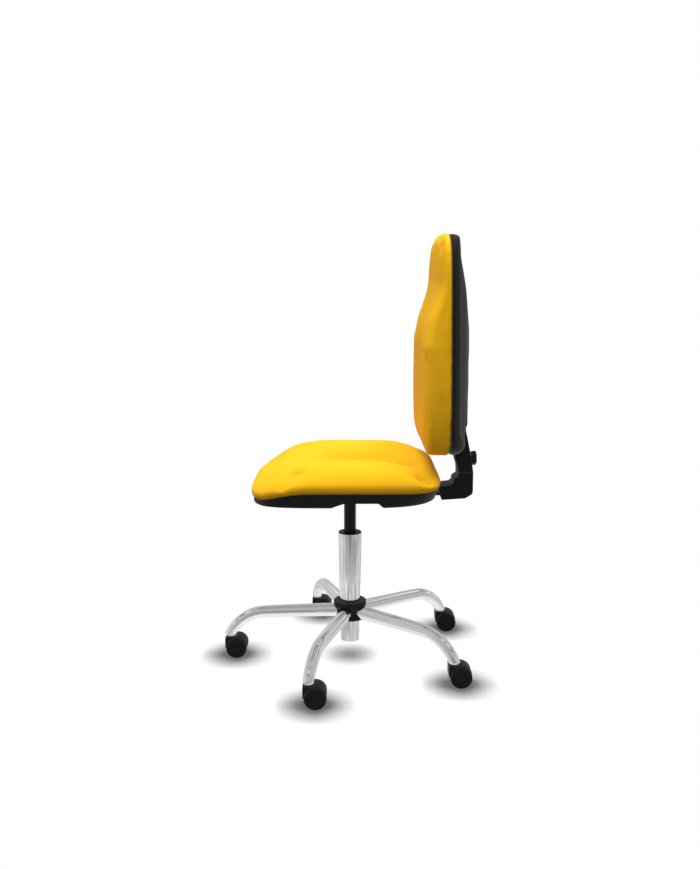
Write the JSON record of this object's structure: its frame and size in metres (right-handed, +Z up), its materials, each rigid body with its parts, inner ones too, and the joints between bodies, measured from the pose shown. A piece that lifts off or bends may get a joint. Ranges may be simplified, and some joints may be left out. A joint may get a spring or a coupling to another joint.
{
  "type": "task chair",
  "caption": "Swivel task chair with a five-leg castor base, gas height column, padded seat and a height-adjustable tilting backrest on a steel arm.",
  "frame": {"origin": "on the floor on the gas column's axis", "axes": "+Z up; the seat's front points to -Y and the sitter's left to +X"},
  "size_m": [0.6138, 0.6175, 1.025],
  "materials": {
    "chrome": "polished chrome plate on steel tube",
    "castor_plastic": "satin black nylon",
    "hub_plastic": "satin black plastic",
    "shell_plastic": "fine-grained satin black polypropylene",
    "knob_plastic": "satin black plastic",
    "black_steel": "black powder coat on steel",
    "zinc_steel": "zinc-plated steel",
    "brass_pin": "turned brass",
    "plywood": "bare beech plywood",
    "yellow_fabric": "fine knitted polyester over moulded foam"
  },
  "bodies": {
    "base": {"leg_1": "chrome", "leg_2": "chrome", "leg_3": "chrome", "leg_4": "chrome", "leg_5": "chrome", "hub_core": "black_steel", "hub_cover": "hub_plastic", "column_tube": "chrome", "column_bush": "hub_plastic"},
    "spindle": {"piston_rod": "zinc_steel", "rod_clip": "zinc_steel", "thrust_bearing": "zinc_steel"},
    "seat_frame": {"gas_cylinder": "black_steel", "mechanism_housing": "black_steel", "tilt_pivot_pin": "zinc_steel", "tilt_spring": "zinc_steel", "lever_pins": "zinc_steel", "mechanism_bolts": "zinc_steel", "seat_board_nuts": "zinc_steel", "seat_board": "plywood", "seat_shell": "shell_plastic", "shell_screws": "zinc_steel", "seat_cushion": "yellow_fabric"},
    "valve": {"valve_pin": "brass_pin"},
    "lift_lever": {"height_lever": "black_steel"},
    "lock_lever": {"tilt_lock_lever": "black_steel"},
    "back_arm": {"back_arm_bar": "black_steel", "back_arm_cover": "shell_plastic"},
    "back_rest": {"back_carriage": "shell_plastic", "carriage_bolts": "zinc_steel", "back_board": "plywood", "back_shell": "shell_plastic", "back_cushion": "yellow_fabric"},
    "height_knob": {"back_height_knob": "knob_plastic"},
    "castor_1": {"castor_hood_1": "castor_plastic", "castor_stem_1": "zinc_steel", "castor_axle_1": "zinc_steel"},
    "left_wheel_1": {"wheel_left_1": "castor_plastic"},
    "right_wheel_1": {"wheel_right_1": "castor_plastic"},
    "castor_2": {"castor_hood_2": "castor_plastic", "castor_stem_2": "zinc_steel", "castor_axle_2": "zinc_steel"},
    "left_wheel_2": {"wheel_left_2": "castor_plastic"},
    "right_wheel_2": {"wheel_right_2": "castor_plastic"},
    "castor_3": {"castor_hood_3": "castor_plastic", "castor_stem_3": "zinc_steel", "castor_axle_3": "zinc_steel"},
    "left_wheel_3": {"wheel_left_3": "castor_plastic"},
    "right_wheel_3": {"wheel_right_3": "castor_plastic"},
    "castor_4": {"castor_hood_4": "castor_plastic", "castor_stem_4": "zinc_steel", "castor_axle_4": "zinc_steel"},
    "left_wheel_4": {"wheel_left_4": "castor_plastic"},
    "right_wheel_4": {"wheel_right_4": "castor_plastic"},
    "castor_5": {"castor_hood_5": "castor_plastic", "castor_stem_5": "zinc_steel", "castor_axle_5": "zinc_steel"},
    "left_wheel_5": {"wheel_left_5": "castor_plastic"},
    "right_wheel_5": {"wheel_right_5": "castor_plastic"}
  },
  "joints": [
    {"name": "seat_swivel", "type": "hinge", "parent": "base", "child": "spindle", "pos_m": [0, 0, 0.3], "axis": [0, 0, 1], "continuous": true},
    {"name": "seat_lift", "type": "slide", "parent": "spindle", "child": "seat_frame", "axis": [0, 0, 1], "range_m": [-0.06, 0.06]},
    {"name": "valve_press", "type": "slide", "parent": "seat_frame", "child": "valve", "axis": [0, 0, 1], "range_m": [-0.004, 0], "stiffness_N_per_m": 1500},
    {"name": "height_lever_pull", "type": "hinge", "parent": "seat_frame", "child": "lift_lever", "pos_m": [-0.036, 0, 0.398], "axis": [0, 1, 0], "range_deg": [0, 5], "stiffness_Nm_per_rad": 6},
    {"name": "tilt_lock_turn", "type": "hinge", "parent": "seat_frame", "child": "lock_lever", "pos_m": [-0.036, 0.084, 0.398], "axis": [0, 1, 0], "range_deg": [0, 5]},
    {"name": "back_tilt", "type": "hinge", "parent": "seat_frame", "child": "back_arm", "pos_m": [0, 0.118, 0.411], "axis": [-1, 0, 0], "range_deg": [0, 20], "deforming": ["tilt_spring"]},
    {"name": "back_height", "type": "slide", "parent": "back_arm", "child": "back_rest", "axis": [0, 0, 1], "range_m": [0, 0.06]},
    {"name": "knob_turn", "type": "hinge", "parent": "back_rest", "child": "height_knob", "pos_m": [0, 0.29, 0.4985], "axis": [0, 1, 0], "range_deg": [0, 270]},
    {"name": "castor_swivel_1", "type": "hinge", "parent": "base", "child": "castor_1", "pos_m": [0, -0.2954, 0.05], "axis": [0, 0, 1], "continuous": true},
    {"name": "left_wheel_roll_1", "type": "hinge", "parent": "castor_1", "child": "left_wheel_1", "pos_m": [0, -0.28, 0.025], "axis": [1, 0, 0], "continuous": true},
    {"name": "right_wheel_roll_1", "type": "hinge", "parent": "castor_1", "child": "right_wheel_1", "pos_m": [0, -0.28, 0.025], "axis": [1, 0, 0], "continuous": true},
    {"name": "castor_swivel_2", "type": "hinge", "parent": "base", "child": "castor_2", "pos_m": [0.28094, -0.09128, 0.05], "axis": [0, 0, 1], "continuous": true},
    {"name": "left_wheel_roll_2", "type": "hinge", "parent": "castor_2", "child": "left_wheel_2", "pos_m": [0.28094, -0.07588, 0.025], "axis": [1, 0, 0], "continuous": true},
    {"name": "right_wheel_roll_2", "type": "hinge", "parent": "castor_2", "child": "right_wheel_2", "pos_m": [0.28094, -0.07588, 0.025], "axis": [1, 0, 0], "continuous": true},
    {"name": "castor_swivel_3", "type": "hinge", "parent": "base", "child": "castor_3", "pos_m": [0.17363, 0.23898, 0.05], "axis": [0, 0, 1], "continuous": true},
    {"name": "left_wheel_roll_3", "type": "hinge", "parent": "castor_3", "child": "left_wheel_3", "pos_m": [0.17363, 0.25438, 0.025], "axis": [1, 0, 0], "continuous": true},
    {"name": "right_wheel_roll_3", "type": "hinge", "parent": "castor_3", "child": "right_wheel_3", "pos_m": [0.17363, 0.25438, 0.025], "axis": [1, 0, 0], "continuous": true},
    {"name": "castor_swivel_4", "type": "hinge", "parent": "base", "child": "castor_4", "pos_m": [-0.17363, 0.23898, 0.05], "axis": [0, 0, 1], "continuous": true},
    {"name": "left_wheel_roll_4", "type": "hinge", "parent": "castor_4", "child": "left_wheel_4", "pos_m": [-0.17363, 0.25438, 0.025], "axis": [1, 0, 0], "continuous": true},
    {"name": "right_wheel_roll_4", "type": "hinge", "parent": "castor_4", "child": "right_wheel_4", "pos_m": [-0.17363, 0.25438, 0.025], "axis": [1, 0, 0], "continuous": true},
    {"name": "castor_swivel_5", "type": "hinge", "parent": "base", "child": "castor_5", "pos_m": [-0.28094, -0.09128, 0.05], "axis": [0, 0, 1], "continuous": true},
    {"name": "left_wheel_roll_5", "type": "hinge", "parent": "castor_5", "child": "left_wheel_5", "pos_m": [-0.28094, -0.07588, 0.025], "axis": [1, 0, 0], "continuous": true},
    {"name": "right_wheel_roll_5", "type": "hinge", "parent": "castor_5", "child": "right_wheel_5", "pos_m": [-0.28094, -0.07588, 0.025], "axis": [1, 0, 0], "continuous": true}
  ],
  "couplings": [
    {"joint": "valve_press", "follows": "height_lever_pull", "m_per_rad": -0.04}
  ]
}
